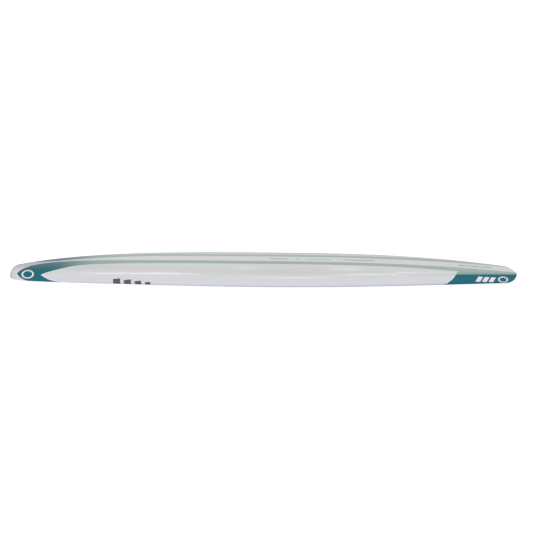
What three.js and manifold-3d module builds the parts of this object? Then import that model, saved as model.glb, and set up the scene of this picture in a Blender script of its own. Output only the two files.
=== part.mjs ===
// Stand-up paddleboard, upside down: hull up, deck down, resting on the deck at its nose and its tail.
// Millimetres. +X runs from nose to tail, +Y across, +Z up. The origin is under the middle, on the floor.
import * as THREE from "three";
import { mergeVertices } from "three/addons/utils/BufferGeometryUtils.js";
import Module from "manifold-3d";

const wasm = await Module();
wasm.setup();

// ---- driving dimensions: the board ----
const LENGTH = 3505;
const WIDTH = 787;
const THICKNESS = 128;
const HULL_TOP = 138.1; // highest point of the hull, at the wide point
const WIDE_POINT = 1750; // behind the nose tip
const NOSE_PLAN = { curve: 1.72, fullness: 2.81 };
const TAIL_PLAN = { halfWidth: 130, curve: 2.22, corner: 43 };
const NOSE_ROCKER = { start: 1475, drop: 70.8, curve: 3.05 };
const TAIL_ROCKER = { drop: 63.8, curve: 2.53 };
const NOSE_FOIL = { thickness: 68, curve: 2.93 };
const TAIL_FOIL = { thickness: 77, curve: 2.13 };
const NOSE_END = { hullRound: 31, deckRound: 16 };
const TAIL_END = { round: 78, curve: 1.89, face: 12 };
// height of the widest line above the deck, as a share of the thickness
const RAIL = { nose: 0.1, middle: 0.41, tail: 0.82 };
const HULL_POWER = { middle: 2.5, tail: 4.15 };
const DECK_POWER = 3.7;

// ---- driving dimensions: the layers ----
const GAP = 0.3; // between pieces that touch
const SKIN = 2; // glass and epoxy laminate
const SEAM_RISE = 3; // the seam runs this far above the widest line
const TAIL_EDGE = 8; // the last of the tail is solid laminate, for a hard edge
const STRINGER = 4;
const PANEL = { thickness: 3, start: 1150, end: 2750, margin: 130, corner: 60 };
const PAD = { thickness: 5, margin: 104, corner: 90 };
const PAD_SPANS = { deck_pad_front: [900, 1550], deck_pad_middle: [1556, 2150], deck_pad_rear: [2156, 3100] };

// ---- driving dimensions: the fittings ----
const FIN_BOX = { at: 3242, length: 270, width: 27, depth: 29 };
const FIN_SLOT = { length: 240, width: 9.6, depth: 25 };
const FIN_TRACK = { width: 14, top: 5, height: 6, notch: 16 };
const FIN_BLOCK = { length: 320, width: 70, depth: 35 };
const HANDLE = { at: 1790, length: 150, width: 96, depth: 42, wall: 5, rim: 10, rimHeight: 5 };
const GRIP = { width: 28, height: 16, seat: 2, sink: 1.5 };
const HANDLE_BLOCK = { margin: 14, depth: 60 };
const LEASH = { at: 3408, cupRadius: 13.5, flangeRadius: 19, flange: 3, depth: 26, hollow: 11, floor: 3 };
const LEASH_PIN = { radius: 2.5, depth: 7, seat: 1.5 };
const LEASH_BLOCK = { radius: 30, depth: 33 };
const VENT = { at: 800, bodyRadius: 11, flangeRadius: 17, flange: 3, depth: 24, bore: 5.5, seatRadius: 9.5, seat: 6.4 };
const VENT_SCREW = { headRadius: 8.8, head: 3, shankRadius: 5, shank: 14, slotWidth: 2, slotDepth: 1.4, sink: 0.6 };
const O_RING = { radius: 1.1, pitchRadius: 7 };
const VENT_BLOCK = { radius: 26, depth: 34 };

// ---- the board's shape, from the nose tip (along = 0) to the tail end (along = LENGTH) ----
const half = WIDTH / 2;
const clamp = (value) => Math.min(Math.max(value, 0), 1);
const noseShare = (along) => clamp(1 - along / WIDE_POINT);
const tailShare = (along) => clamp((along - WIDE_POINT) / (LENGTH - WIDE_POINT));

function halfWidth(along) {
  if (along < WIDE_POINT) {
    return half * (1 - noseShare(along) ** NOSE_PLAN.curve) ** (1 / NOSE_PLAN.fullness);
  }
  const { corner, curve } = TAIL_PLAN;
  const straight = half - (half - TAIL_PLAN.halfWidth) * tailShare(along) ** curve;
  const into = Math.max(along - (LENGTH - corner), 0);
  return straight - corner + Math.sqrt(Math.max(corner ** 2 - into ** 2, 0));
}

// A quarter ellipse: 0 at the very end, 1 once `distance` reaches `reach`. With no reach, the end is square.
function roundedEnd(distance, reach) {
  const share = reach > 0 ? clamp(1 - distance / reach) : 0;
  return Math.sqrt(1 - share ** 2);
}

function section(along) {
  const nose = noseShare(along);
  const tail = tailShare(along);
  const kick = clamp(1 - along / NOSE_ROCKER.start) ** NOSE_ROCKER.curve;
  const hull = HULL_TOP - NOSE_ROCKER.drop * kick - TAIL_ROCKER.drop * tail ** TAIL_ROCKER.curve;
  const noseThin = (THICKNESS - NOSE_FOIL.thickness) * nose ** NOSE_FOIL.curve;
  const tailThin = (THICKNESS - TAIL_FOIL.thickness) * tail ** TAIL_FOIL.curve;
  const into = clamp((along - LENGTH + TAIL_END.round) / TAIL_END.round) ** TAIL_END.curve;
  const tuck = (TAIL_FOIL.thickness - TAIL_END.face) * (1 - Math.max(1 - into, 0) ** (1 / TAIL_END.curve));
  const deck = hull - THICKNESS + noseThin + tailThin + tuck;
  const share = RAIL.middle + (RAIL.nose - RAIL.middle) * nose ** 2 + (RAIL.tail - RAIL.middle) * tail ** 2;
  const rail = deck + share * (hull - deck);
  return {
    rail,
    width: halfWidth(along),
    hullRise: (hull - rail) * roundedEnd(along, NOSE_END.hullRound),
    deckDrop: (rail - deck) * roundedEnd(along, NOSE_END.deckRound),
    hullPower: HULL_POWER.middle + (HULL_POWER.tail - HULL_POWER.middle) * tail ** 2,
  };
}

// The surface point at a girth angle: 0 at the hull's centre line, 90 degrees at the rail, 180 on the deck.
function surfacePoint(along, angle) {
  const { rail, width, hullRise, deckDrop, hullPower } = section(along);
  const sine = Math.sin(angle);
  const cosine = Math.cos(angle);
  const onHull = cosine >= 0;
  const power = onHull ? hullPower : DECK_POWER;
  const reach = onHull ? hullRise : deckDrop;
  const y = width * Math.sign(sine) * Math.abs(sine) ** (2 / power);
  const z = rail + reach * Math.sign(cosine) * Math.abs(cosine) ** (2 / power);
  return new THREE.Vector3(along - LENGTH / 2, y, z);
}

function surfaceNormal(along, angle) {
  const step = 0.05;
  const turn = 0.001;
  const before = Math.max(along - step, 0);
  const after = Math.min(along + step, LENGTH);
  const lengthwise = surfacePoint(after, angle).sub(surfacePoint(before, angle));
  const girthwise = surfacePoint(along, angle + turn).sub(surfacePoint(along, angle - turn));
  return lengthwise.cross(girthwise).normalize();
}

const hullHeight = (along) => surfacePoint(along, 0).z;
const deckHeight = (along) => surfacePoint(along, Math.PI).z;

// ---- stations along the board: close together at both ends ----
const NOSE_STATIONS = 6;
const NOSE_REACH = 150;
const FRONT_STATIONS = 7;
const BACK_STATIONS = 8;
const TAIL_STATIONS = 5;
const TAIL_REACH = 90;
const GIRTH_STEPS = 24;

function stationList() {
  const list = [];
  for (let i = 1; i <= NOSE_STATIONS; i++) {
    list.push(NOSE_REACH * (i / NOSE_STATIONS) ** 3);
  }
  for (let i = 1; i <= FRONT_STATIONS; i++) {
    list.push(NOSE_REACH + ((WIDE_POINT - NOSE_REACH) * i) / FRONT_STATIONS);
  }
  for (let i = 1; i <= BACK_STATIONS; i++) {
    list.push(WIDE_POINT + ((LENGTH - TAIL_REACH - WIDE_POINT) * i) / BACK_STATIONS);
  }
  for (let i = 1; i <= TAIL_STATIONS; i++) {
    list.push(LENGTH - TAIL_REACH * (1 - Math.sin((Math.PI / 2) * (i / TAIL_STATIONS))));
  }
  return list;
}

// The whole board as one closed mesh, its surface moved inward by `inset`.
function boardGeometry(inset) {
  const endX = LENGTH / 2 - inset;
  const vertices = [];
  const triangles = [];
  const stations = stationList();
  for (const along of stations) {
    for (let j = 0; j < GIRTH_STEPS; j++) {
      const angle = (2 * Math.PI * j) / GIRTH_STEPS;
      const point = surfacePoint(along, angle).addScaledVector(surfaceNormal(along, angle), -inset);
      vertices.push(Math.min(point.x, endX), point.y, point.z);
    }
  }
  // the diagonals of the two sides mirror each other
  for (let i = 0; i + 1 < stations.length; i++) {
    for (let j = 0; j < GIRTH_STEPS; j++) {
      const a = i * GIRTH_STEPS + j;
      const b = i * GIRTH_STEPS + ((j + 1) % GIRTH_STEPS);
      const c = a + GIRTH_STEPS;
      const d = b + GIRTH_STEPS;
      if (j < GIRTH_STEPS / 2) {
        triangles.push(a, c, b, b, c, d);
      } else {
        triangles.push(a, c, d, a, d, b);
      }
    }
  }
  const tip = vertices.length / 3;
  vertices.push(-LENGTH / 2 + inset, 0, surfacePoint(0, 0).z);
  const tail = tip + 1;
  vertices.push(endX, 0, section(LENGTH).rail);
  const last = (stations.length - 1) * GIRTH_STEPS;
  for (let j = 0; j < GIRTH_STEPS; j++) {
    const next = (j + 1) % GIRTH_STEPS;
    triangles.push(tip, j, next, tail, last + next, last + j);
  }
  const geometry = new THREE.BufferGeometry();
  geometry.setAttribute("position", new THREE.Float32BufferAttribute(vertices, 3));
  geometry.setIndex(triangles);
  return geometry;
}

// ---- booleans ----
function solid(geometry) {
  const bare = geometry.clone();
  bare.deleteAttribute("normal");
  bare.deleteAttribute("uv");
  const merged = mergeVertices(bare, 1e-4);
  const vertProperties = new Float32Array(merged.attributes.position.array);
  const triVerts = new Uint32Array(merged.index.array);
  return new wasm.Manifold(new wasm.Mesh({ numProp: 3, vertProperties, triVerts }));
}

function geometryOf(manifold) {
  const mesh = manifold.getMesh();
  const geometry = new THREE.BufferGeometry();
  geometry.setAttribute("position", new THREE.Float32BufferAttribute(mesh.vertProperties, 3));
  geometry.setIndex(Array.from(mesh.triVerts));
  return geometry;
}

const subtractAll = (body, tools) => tools.reduce((rest, tool) => rest.subtract(tool), body);

// ---- plain tool shapes, placed in the board's frame ----
function boxSolid(x, y, z, sizeX, sizeY, sizeZ) {
  return solid(new THREE.BoxGeometry(sizeX, sizeY, sizeZ).translate(x, y, z));
}

// An upright cylinder between two heights.
function postSolid(x, radius, low, high) {
  const post = new THREE.CylinderGeometry(radius, radius, high - low, 20).rotateX(Math.PI / 2);
  return solid(post.translate(x, 0, (low + high) / 2));
}

// An upright prism with half-round ends, between two heights.
function slotSolid(x, length, width, low, high) {
  const radius = width / 2;
  const straight = length / 2 - radius;
  const outline = new THREE.Shape();
  outline.absarc(straight, 0, radius, -Math.PI / 2, Math.PI / 2);
  outline.absarc(-straight, 0, radius, Math.PI / 2, (3 * Math.PI) / 2);
  const settings = { depth: high - low, bevelEnabled: false, curveSegments: 7 };
  return solid(new THREE.ExtrudeGeometry(outline, settings).translate(x, 0, low));
}

// A prism over a closed outline in plan, from below the board to its middle.
function planSolid(points) {
  const settings = { depth: HULL_TOP, bevelEnabled: false };
  return solid(new THREE.ExtrudeGeometry(new THREE.Shape(points), settings).translate(0, 0, -HULL_TOP / 2));
}

// Everything above or below the seam line, as a prism across the board.
function seamBlock(side) {
  const points = [];
  const far = side * 2 * HULL_TOP;
  const shift = SEAM_RISE + (side * GAP) / 2;
  points.push(new THREE.Vector2(-LENGTH, section(0).rail + shift));
  for (const along of stationList()) {
    points.push(new THREE.Vector2(along - LENGTH / 2, section(along).rail + shift));
  }
  points.push(new THREE.Vector2(LENGTH, section(LENGTH).rail + shift));
  points.push(new THREE.Vector2(LENGTH, far), new THREE.Vector2(-LENGTH, far));
  const settings = { depth: 2 * WIDTH, bevelEnabled: false };
  const prism = new THREE.ExtrudeGeometry(new THREE.Shape(points), settings);
  return solid(prism.rotateX(Math.PI / 2).translate(0, WIDTH, 0));
}

// ---- outlines in plan that follow the board's own edge ----
const EDGE_STEPS = 10;
const CORNER_STEPS = 6;

// Places along the board from start to end, close together where an end is rounded.
function edgePlaces(start, end, corners) {
  const places = [];
  const arcShare = (i) => 1 - Math.sin((Math.PI / 2) * (1 - i / CORNER_STEPS));
  for (let i = 0; i < CORNER_STEPS && corners.start > 0; i++) {
    places.push(start + corners.start * arcShare(i));
  }
  const first = start + corners.start;
  const last = end - corners.end;
  for (let i = 0; i <= EDGE_STEPS; i++) {
    places.push(first + ((last - first) * i) / EDGE_STEPS);
  }
  for (let i = CORNER_STEPS - 1; i >= 0 && corners.end > 0; i--) {
    places.push(end - corners.end * arcShare(i));
  }
  return places;
}

// A closed outline between two places along the board, `margin` inside its edge, with rounded ends.
function edgeOutline(start, end, margin, corners) {
  const side = edgePlaces(start, end, corners).map((along) => {
    const atStart = corners.start * (1 - roundedEnd(along - start, corners.start));
    const atEnd = corners.end * (1 - roundedEnd(end - along, corners.end));
    return new THREE.Vector2(along - LENGTH / 2, halfWidth(along) - margin - atStart - atEnd);
  });
  const mirrored = side.map((point) => new THREE.Vector2(point.x, -point.y));
  return [...mirrored, ...side.reverse()];
}

// ---- shared bodies and pockets ----
const outer = solid(boardGeometry(0));
const toX = (along) => along - LENGTH / 2;
const aheadOf = (x) => boxSolid(x - LENGTH, 0, 0, 2 * LENGTH, 2 * WIDTH, 2 * WIDTH);
const underSkin = solid(boardGeometry(SKIN)).intersect(aheadOf(LENGTH / 2 - TAIL_EDGE));
const coreBody = solid(boardGeometry(SKIN + GAP)).intersect(aheadOf(LENGTH / 2 - TAIL_EDGE - GAP));

// The fin box lies along the hull, which slopes down towards the tail.
const finSlope = Math.atan2(hullHeight(FIN_BOX.at + 100) - hullHeight(FIN_BOX.at - 100), 200);

// A box in the fin box's tilted frame: depths are measured down from the hull's surface.
function finSolid(length, width, top, bottom, offset = 0) {
  const height = bottom - top;
  const box = new THREE.BoxGeometry(length, width, height).translate(offset, 0, -(top + height / 2));
  return solid(box.rotateY(-finSlope).translate(toX(FIN_BOX.at), 0, hullHeight(FIN_BOX.at)));
}

const ABOVE = -12; // a tool that has to pass out through the skin starts this far above it
const finBoxPocket = finSolid(FIN_BOX.length + 2 * GAP, FIN_BOX.width + 2 * GAP, ABOVE, FIN_BOX.depth + GAP);
const finBlockPocket = finSolid(
  FIN_BLOCK.length + 2 * GAP, FIN_BLOCK.width + 2 * GAP, ABOVE, FIN_BLOCK.depth + GAP,
);

const handleX = toX(HANDLE.at);
const handleFace = deckHeight(HANDLE.at);
const OUTSIDE = 10; // a tool for the deck starts this far below its surface
const handleSize = { length: HANDLE.length + 2 * HANDLE.wall, width: HANDLE.width + 2 * HANDLE.wall };
const rimSize = { length: HANDLE.length + 2 * HANDLE.rim, width: HANDLE.width + 2 * HANDLE.rim };

function handleShape(grow) {
  const { length, width } = handleSize;
  const top = handleFace + HANDLE.depth + HANDLE.wall + grow;
  const bowl = slotSolid(handleX, length + 2 * grow, width + 2 * grow, handleFace - OUTSIDE, top);
  const rimTop = handleFace + HANDLE.rimHeight + grow;
  const rim = slotSolid(
    handleX, rimSize.length + 2 * grow, rimSize.width + 2 * grow, handleFace - OUTSIDE, rimTop,
  );
  return bowl.add(rim);
}

function handleBlockShape(grow) {
  const length = rimSize.length + 2 * (HANDLE_BLOCK.margin + grow);
  const width = rimSize.width + 2 * (HANDLE_BLOCK.margin + grow);
  return slotSolid(handleX, length, width, handleFace - OUTSIDE, handleFace + HANDLE_BLOCK.depth + grow);
}

// A round fitting set into the deck: a body under a wider flange.
function plugShape(x, face, bodyRadius, flangeRadius, flange, depth, grow) {
  const body = postSolid(x, bodyRadius + grow, face - OUTSIDE, face + depth + grow);
  return body.add(postSolid(x, flangeRadius + grow, face - OUTSIDE, face + flange + grow));
}

const leashX = toX(LEASH.at);
const leashFace = deckHeight(LEASH.at);
const leashShape = (grow) =>
  plugShape(leashX, leashFace, LEASH.cupRadius, LEASH.flangeRadius, LEASH.flange, LEASH.depth, grow);
const leashBlockShape = (grow) =>
  postSolid(leashX, LEASH_BLOCK.radius + grow, leashFace - OUTSIDE, leashFace + LEASH_BLOCK.depth + grow);

const ventX = toX(VENT.at);
const ventFace = deckHeight(VENT.at);
const ventShape = (grow) =>
  plugShape(ventX, ventFace, VENT.bodyRadius, VENT.flangeRadius, VENT.flange, VENT.depth, grow);
const ventBlockShape = (grow) =>
  postSolid(ventX, VENT_BLOCK.radius + grow, ventFace - OUTSIDE, ventFace + VENT_BLOCK.depth + grow);

const panelPlan = (grow) => {
  const corners = { start: PANEL.corner, end: PANEL.corner };
  return planSolid(edgeOutline(PANEL.start - grow, PANEL.end + grow, PANEL.margin - grow, corners));
};

const deckPockets = [handleShape(GAP), leashShape(GAP), ventShape(GAP)];
const blockPockets = [handleBlockShape(GAP), leashBlockShape(GAP), ventBlockShape(GAP), finBlockPocket];

// ---- pieces ----
function hullSkin() {
  return outer.subtract(underSkin).intersect(seamBlock(1)).subtract(finBoxPocket);
}

function deckSkin() {
  return subtractAll(outer.subtract(underSkin).intersect(seamBlock(-1)), deckPockets);
}

function coreAndStringer() {
  const panelPocket = panelPlan(GAP).subtract(solid(boardGeometry(SKIN + PANEL.thickness + 2 * GAP)));
  const whole = subtractAll(coreBody, [...blockPockets, panelPocket]);
  const reach = STRINGER / 2 + GAP;
  const sideBox = (side) => boxSolid(0, side * (reach + WIDTH / 2), HULL_TOP / 2, 2 * LENGTH, WIDTH, 2 * WIDTH);
  return {
    core_port: whole.intersect(sideBox(1)),
    core_starboard: whole.intersect(sideBox(-1)),
    stringer: whole.intersect(boxSolid(0, 0, HULL_TOP / 2, 2 * LENGTH, STRINGER, 2 * WIDTH)),
  };
}

function stancePanel() {
  const below = solid(boardGeometry(SKIN + GAP + PANEL.thickness));
  const sheet = coreBody.intersect(panelPlan(0)).subtract(below);
  return sheet.subtract(handleBlockShape(GAP));
}

function finBoxBlock() {
  const block = finSolid(FIN_BLOCK.length, FIN_BLOCK.width, ABOVE, FIN_BLOCK.depth);
  return block.intersect(coreBody).subtract(finBoxPocket);
}

function finBox() {
  const shell = finSolid(FIN_BOX.length, FIN_BOX.width, ABOVE, FIN_BOX.depth).intersect(outer);
  const slot = finSolid(FIN_SLOT.length, FIN_SLOT.width, ABOVE, FIN_SLOT.depth);
  const track = finSolid(FIN_SLOT.length, FIN_TRACK.width, FIN_TRACK.top, FIN_TRACK.top + FIN_TRACK.height);
  const notch = finSolid(FIN_TRACK.notch, FIN_TRACK.width, ABOVE, FIN_TRACK.top + FIN_TRACK.height);
  return subtractAll(shell, [slot, track, notch]);
}

// The grip bar crosses the mouth lengthwise, with its two ends let into the rim.
function gripShape(grow) {
  const length = HANDLE.length + 2 * GRIP.seat + 2 * grow;
  const width = GRIP.width + 2 * grow;
  const low = handleFace + GRIP.sink;
  const outline = new THREE.Shape();
  const top = GRIP.height + grow;
  const bottom = grow === 0 ? 0 : -OUTSIDE;
  const bevel = 5;
  outline.moveTo(-width / 2, bottom + bevel);
  outline.quadraticCurveTo(-width / 2, bottom, -width / 2 + bevel, bottom);
  outline.lineTo(width / 2 - bevel, bottom);
  outline.quadraticCurveTo(width / 2, bottom, width / 2, bottom + bevel);
  outline.lineTo(width / 2, top - bevel);
  outline.quadraticCurveTo(width / 2, top, width / 2 - bevel, top);
  outline.lineTo(-width / 2 + bevel, top);
  outline.quadraticCurveTo(-width / 2, top, -width / 2, top - bevel);
  outline.closePath();
  const bar = new THREE.ExtrudeGeometry(outline, { depth: length, bevelEnabled: false, curveSegments: 4 });
  bar.rotateX(Math.PI / 2).rotateZ(Math.PI / 2);
  return solid(bar.translate(handleX - length / 2, 0, low));
}

function handleCup() {
  const shell = handleShape(0).intersect(outer);
  const hollow = slotSolid(
    handleX, HANDLE.length, HANDLE.width, handleFace - OUTSIDE, handleFace + HANDLE.depth,
  );
  return subtractAll(shell, [hollow, gripShape(GAP)]);
}

function handleBlock() {
  return handleBlockShape(0).intersect(coreBody).subtract(handleShape(GAP));
}

function leashCup() {
  const shell = leashShape(0).intersect(outer);
  const hollow = postSolid(leashX, LEASH.hollow, leashFace - OUTSIDE, leashFace + LEASH.depth - LEASH.floor);
  return subtractAll(shell, [hollow, leashPinShape(GAP)]);
}

function leashPinShape(grow) {
  const length = 2 * (LEASH.hollow + LEASH_PIN.seat + grow);
  const pin = new THREE.CylinderGeometry(LEASH_PIN.radius + grow, LEASH_PIN.radius + grow, length, 14);
  return solid(pin.translate(leashX, 0, leashFace + LEASH_PIN.depth));
}

function leashBlock() {
  return leashBlockShape(0).intersect(coreBody).subtract(leashShape(GAP));
}

function ventHousing() {
  const shell = ventShape(0).intersect(outer);
  const seat = postSolid(ventX, VENT.seatRadius, ventFace - OUTSIDE, ventFace + VENT.seat);
  const bore = postSolid(ventX, VENT.bore, ventFace - OUTSIDE, ventFace + VENT.depth + 1);
  return subtractAll(shell, [seat, bore]);
}

function ventScrew() {
  const low = ventFace + VENT_SCREW.sink;
  const neck = low + VENT_SCREW.head;
  const head = postSolid(ventX, VENT_SCREW.headRadius, low, neck);
  const shank = postSolid(ventX, VENT_SCREW.shankRadius, neck - 0.5, neck + VENT_SCREW.shank);
  const slot = boxSolid(
    ventX, 0, low, 1.6 * VENT_SCREW.headRadius, VENT_SCREW.slotWidth, 2 * VENT_SCREW.slotDepth,
  );
  return head.add(shank).subtract(slot);
}

function ventORing() {
  const ring = new THREE.TorusGeometry(O_RING.pitchRadius, O_RING.radius, 8, 20);
  const height = ventFace + VENT_SCREW.sink + VENT_SCREW.head + GAP + O_RING.radius;
  return solid(ring.translate(ventX, 0, height));
}

function ventBlock() {
  return ventBlockShape(0).intersect(coreBody).subtract(ventShape(GAP));
}

function deckPad(name) {
  const [start, end] = PAD_SPANS[name];
  const corners = {
    start: name === "deck_pad_front" ? PAD.corner : 0,
    end: name === "deck_pad_rear" ? PAD.corner : 0,
  };
  const plan = planSolid(edgeOutline(start, end, PAD.margin, corners));
  const sheet = solid(boardGeometry(-GAP - PAD.thickness)).intersect(plan).subtract(solid(boardGeometry(-GAP)));
  const clearance = slotSolid(
    handleX, rimSize.length + 8, rimSize.width + 8, handleFace - 2 * OUTSIDE, handleFace + OUTSIDE,
  );
  return sheet.subtract(clearance);
}

// ---- materials ----
const finish = (color, roughness, metalness = 0) => new THREE.MeshStandardMaterial({ color, roughness, metalness });
const gloss = () => finish(0xe9eaee, 0.12);
const foam = () => finish(0xf4f4f0, 0.9);
const hardFoam = () => finish(0xd9cfa6, 0.85);
const timber = () => finish(0xc9a26b, 0.6);
const blackPlastic = () => finish(0x1b1c1e, 0.45);
const whitePlastic = () => finish(0xd4d6d8, 0.35);
const eva = () => finish(0x5c6166, 0.95);

// ---- assembly ----
const board = new THREE.Group();

function addPiece(name, manifold, material) {
  const mesh = new THREE.Mesh(geometryOf(manifold), material);
  mesh.name = name;
  board.add(mesh);
}

const { core_port: corePort, core_starboard: coreStarboard, stringer } = coreAndStringer();
addPiece("hull_skin", hullSkin(), gloss());
addPiece("deck_skin", deckSkin(), gloss());
addPiece("core_port", corePort, foam());
addPiece("core_starboard", coreStarboard, foam());
addPiece("stringer", stringer, timber());
addPiece("stance_panel", stancePanel(), hardFoam());
addPiece("fin_box_block", finBoxBlock(), hardFoam());
addPiece("fin_box", finBox(), whitePlastic());
addPiece("handle_block", handleBlock(), hardFoam());
addPiece("handle_cup", handleCup(), blackPlastic());
addPiece("handle_grip", gripShape(0), finish(0x2a2b2d, 0.8));
addPiece("leash_plug_block", leashBlock(), hardFoam());
addPiece("leash_plug_cup", leashCup(), blackPlastic());
addPiece("leash_plug_pin", leashPinShape(0), finish(0xc8cacc, 0.25, 1));
addPiece("vent_block", ventBlock(), hardFoam());
addPiece("vent_housing", ventHousing(), whitePlastic());
addPiece("vent_o_ring", ventORing(), finish(0x141414, 0.7));
addPiece("vent_screw", ventScrew(), finish(0xd9b36a, 0.3, 1));
for (const name of Object.keys(PAD_SPANS)) {
  addPiece(name, deckPad(name), eva());
}

export default board;
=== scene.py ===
"""A stand-up paddleboard, upside down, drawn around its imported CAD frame.

Metres. +X runs from the nose to the tail, +Y across, +Z up, out of the hull.
The board's own shape is worked out from the same driving dimensions as its CAD model. Places on it
are given as `along`, behind the nose tip, and `girth`, measured over the surface from the hull's centre line.
"""

import math

import bmesh
import bpy
import numpy as np
from mathutils import Matrix, Vector


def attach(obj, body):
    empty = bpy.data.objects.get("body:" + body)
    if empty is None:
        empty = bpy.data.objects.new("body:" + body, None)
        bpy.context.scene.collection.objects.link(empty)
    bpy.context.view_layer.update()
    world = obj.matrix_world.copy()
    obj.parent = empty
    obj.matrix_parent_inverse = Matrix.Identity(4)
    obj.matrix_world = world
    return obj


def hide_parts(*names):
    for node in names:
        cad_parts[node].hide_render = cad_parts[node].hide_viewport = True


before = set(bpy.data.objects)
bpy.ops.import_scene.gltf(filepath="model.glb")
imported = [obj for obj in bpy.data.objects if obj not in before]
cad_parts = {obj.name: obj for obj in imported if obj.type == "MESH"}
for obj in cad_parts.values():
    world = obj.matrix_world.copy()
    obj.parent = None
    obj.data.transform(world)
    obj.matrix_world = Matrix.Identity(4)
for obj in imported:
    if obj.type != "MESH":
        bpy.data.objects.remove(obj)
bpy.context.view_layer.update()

# ---- driving dimensions: the board ----
LENGTH = 3.505
WIDTH = 0.787
THICKNESS = 0.128
HULL_TOP = 0.1381
WIDE_POINT = 1.75
NOSE_PLAN = {"curve": 1.72, "fullness": 2.81}
TAIL_PLAN = {"half_width": 0.130, "curve": 2.22, "corner": 0.043}
NOSE_ROCKER = {"start": 1.475, "drop": 0.0708, "curve": 3.05}
TAIL_ROCKER = {"drop": 0.0638, "curve": 2.53}
NOSE_FOIL = {"thickness": 0.068, "curve": 2.93}
TAIL_FOIL = {"thickness": 0.077, "curve": 2.13}
NOSE_END = {"hull_round": 0.031, "deck_round": 0.016}
TAIL_END = {"round": 0.078, "curve": 1.89, "face": 0.012}
RAIL = {"nose": 0.1, "middle": 0.41, "tail": 0.82}
HULL_POWER = {"middle": 2.5, "tail": 4.15}
DECK_POWER = 3.7
SKIN = 0.002
SEAM_RISE = 0.003
GAP = 0.0003

# ---- driving dimensions: the fittings ----
FIN_BOX = {"at": 3.242, "length": 0.270, "width": 0.027, "depth": 0.029}
FIN_SLOT = {"length": 0.240, "width": 0.0096, "depth": 0.025}
FIN_TRACK = {"width": 0.014, "top": 0.005, "height": 0.006, "notch": 0.016}
HANDLE = {
    "at": 1.790, "length": 0.150, "width": 0.096, "depth": 0.042, "wall": 0.005, "rim": 0.010, "lip": 0.005,
}
HANDLE_STRAIGHT = (HANDLE["length"] - HANDLE["width"]) / 2
HANDLE_RIM = HANDLE["width"] / 2 + HANDLE["rim"]
GRIP = {"width": 0.028, "height": 0.016, "seat": 0.002, "sink": 0.0015}
LEASH = {"at": 3.408, "body": 0.0135, "flange": 0.019, "lip": 0.003, "depth": 0.026, "hollow": 0.011}
LEASH_FLOOR = 0.003
LEASH_PIN = {"radius": 0.0025, "depth": 0.007, "seat": 0.0015}
VENT = {"at": 0.800, "body": 0.011, "flange": 0.017, "lip": 0.003, "depth": 0.024, "bore": 0.0055}
VENT_SEAT = {"radius": 0.0095, "depth": 0.0064}
SCREW = {"head": 0.0088, "head_height": 0.003, "shank": 0.005, "shank_length": 0.014, "sink": 0.0006}
SCREW_SLOT = {"width": 0.002, "depth": 0.0014}
O_RING = {"radius": 0.0011, "pitch": 0.007}
PAD = {"thickness": 0.005, "margin": 0.104, "corner": 0.090, "edge_round": 0.003}
PAD_SPANS = {"pad_front": (0.900, 1.550), "pad_middle": (1.556, 2.150), "pad_rear": (2.156, 3.100)}
GROOVE = {"spacing": 0.024, "width": 0.004, "depth": 0.0016}
# the lengthwise grooves, spaced over a nominal half width that is then stretched to the pad's own
LONG_GROOVE = {"half": 0.2, "spacing": 0.04}
# the openings cut through the laminate: how far they clear the fitting, and the cutting tool's two heights
OPENING = {"clear": 0.0001, "foot": -0.02, "top": 0.03}

# ---- the paint: outlines as (along, girth), corner to corner ----
TEAL_INNER_EDGE = [
    (0.079, 0.15), (0.102, 0.12), (0.123, 0.097), (0.158, 0.059), (0.224, 0.031), (0.33, 0.019),
    (0.477, 0.03), (0.699, 0.048), (0.95, 0.064), (1.4, 0.073), (1.75, 0.074), (2.4, 0.074),
    (3.05, 0.075), (3.6, 0.078),
]
TEAL_DECK_EDGE = [(3.6, 0.26), (3.4, 0.29), (3.2, 0.35), (3.05, 0.41), (2.87, 0.44)]
TEAL_TAIL_FRONT = [
    (2.87, 0.44), (2.915, 0.395), (2.956, 0.356), (2.98, 0.33), (2.999, 0.308),
    (3.02, 0.286), (3.038, 0.26), (3.065, 0.207), (3.078, 0.178),
]
STRIPE_OUTER_EDGE = [
    (3.078, 0.178), (3.03, 0.188), (2.89, 0.174), (2.6, 0.162), (2.2, 0.157), (1.77, 0.157),
    (0.98, 0.152), (0.717, 0.146), (0.6, 0.146), (0.513, 0.15), (0.462, 0.162), (0.419, 0.18),
    (0.375, 0.197), (0.325, 0.214), (0.293, 0.222), (0.265, 0.232),
]
NOTCH_LOWER_EDGE = [
    (0.265, 0.232), (0.303, 0.262), (0.326, 0.279), (0.351, 0.293), (0.388, 0.309), (0.45, 0.33),
]
NOSE_LOWER_EDGE = [
    (0.45, 0.33), (0.36, 0.315), (0.264, 0.285), (0.202, 0.262), (0.157, 0.235), (0.13, 0.212),
    (0.107, 0.188), (0.079, 0.15),
]
TEAL_EDGES = [
    TEAL_INNER_EDGE, TEAL_DECK_EDGE, TEAL_TAIL_FRONT, STRIPE_OUTER_EDGE, NOTCH_LOWER_EDGE, NOSE_LOWER_EDGE,
]
PINSTRIPE = 0.006
# half the width of a painted area's soft edge, and of a ring's as a share of the ring
PAINT_EDGE = 0.0005
RING_EDGE = 0.015
# where the teal fades along the board, and how much the surface faces up on the rail and on the flat
FADE = {"start": 0.32, "end": 0.62, "rail": 0.87, "flat": 0.94}
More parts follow.
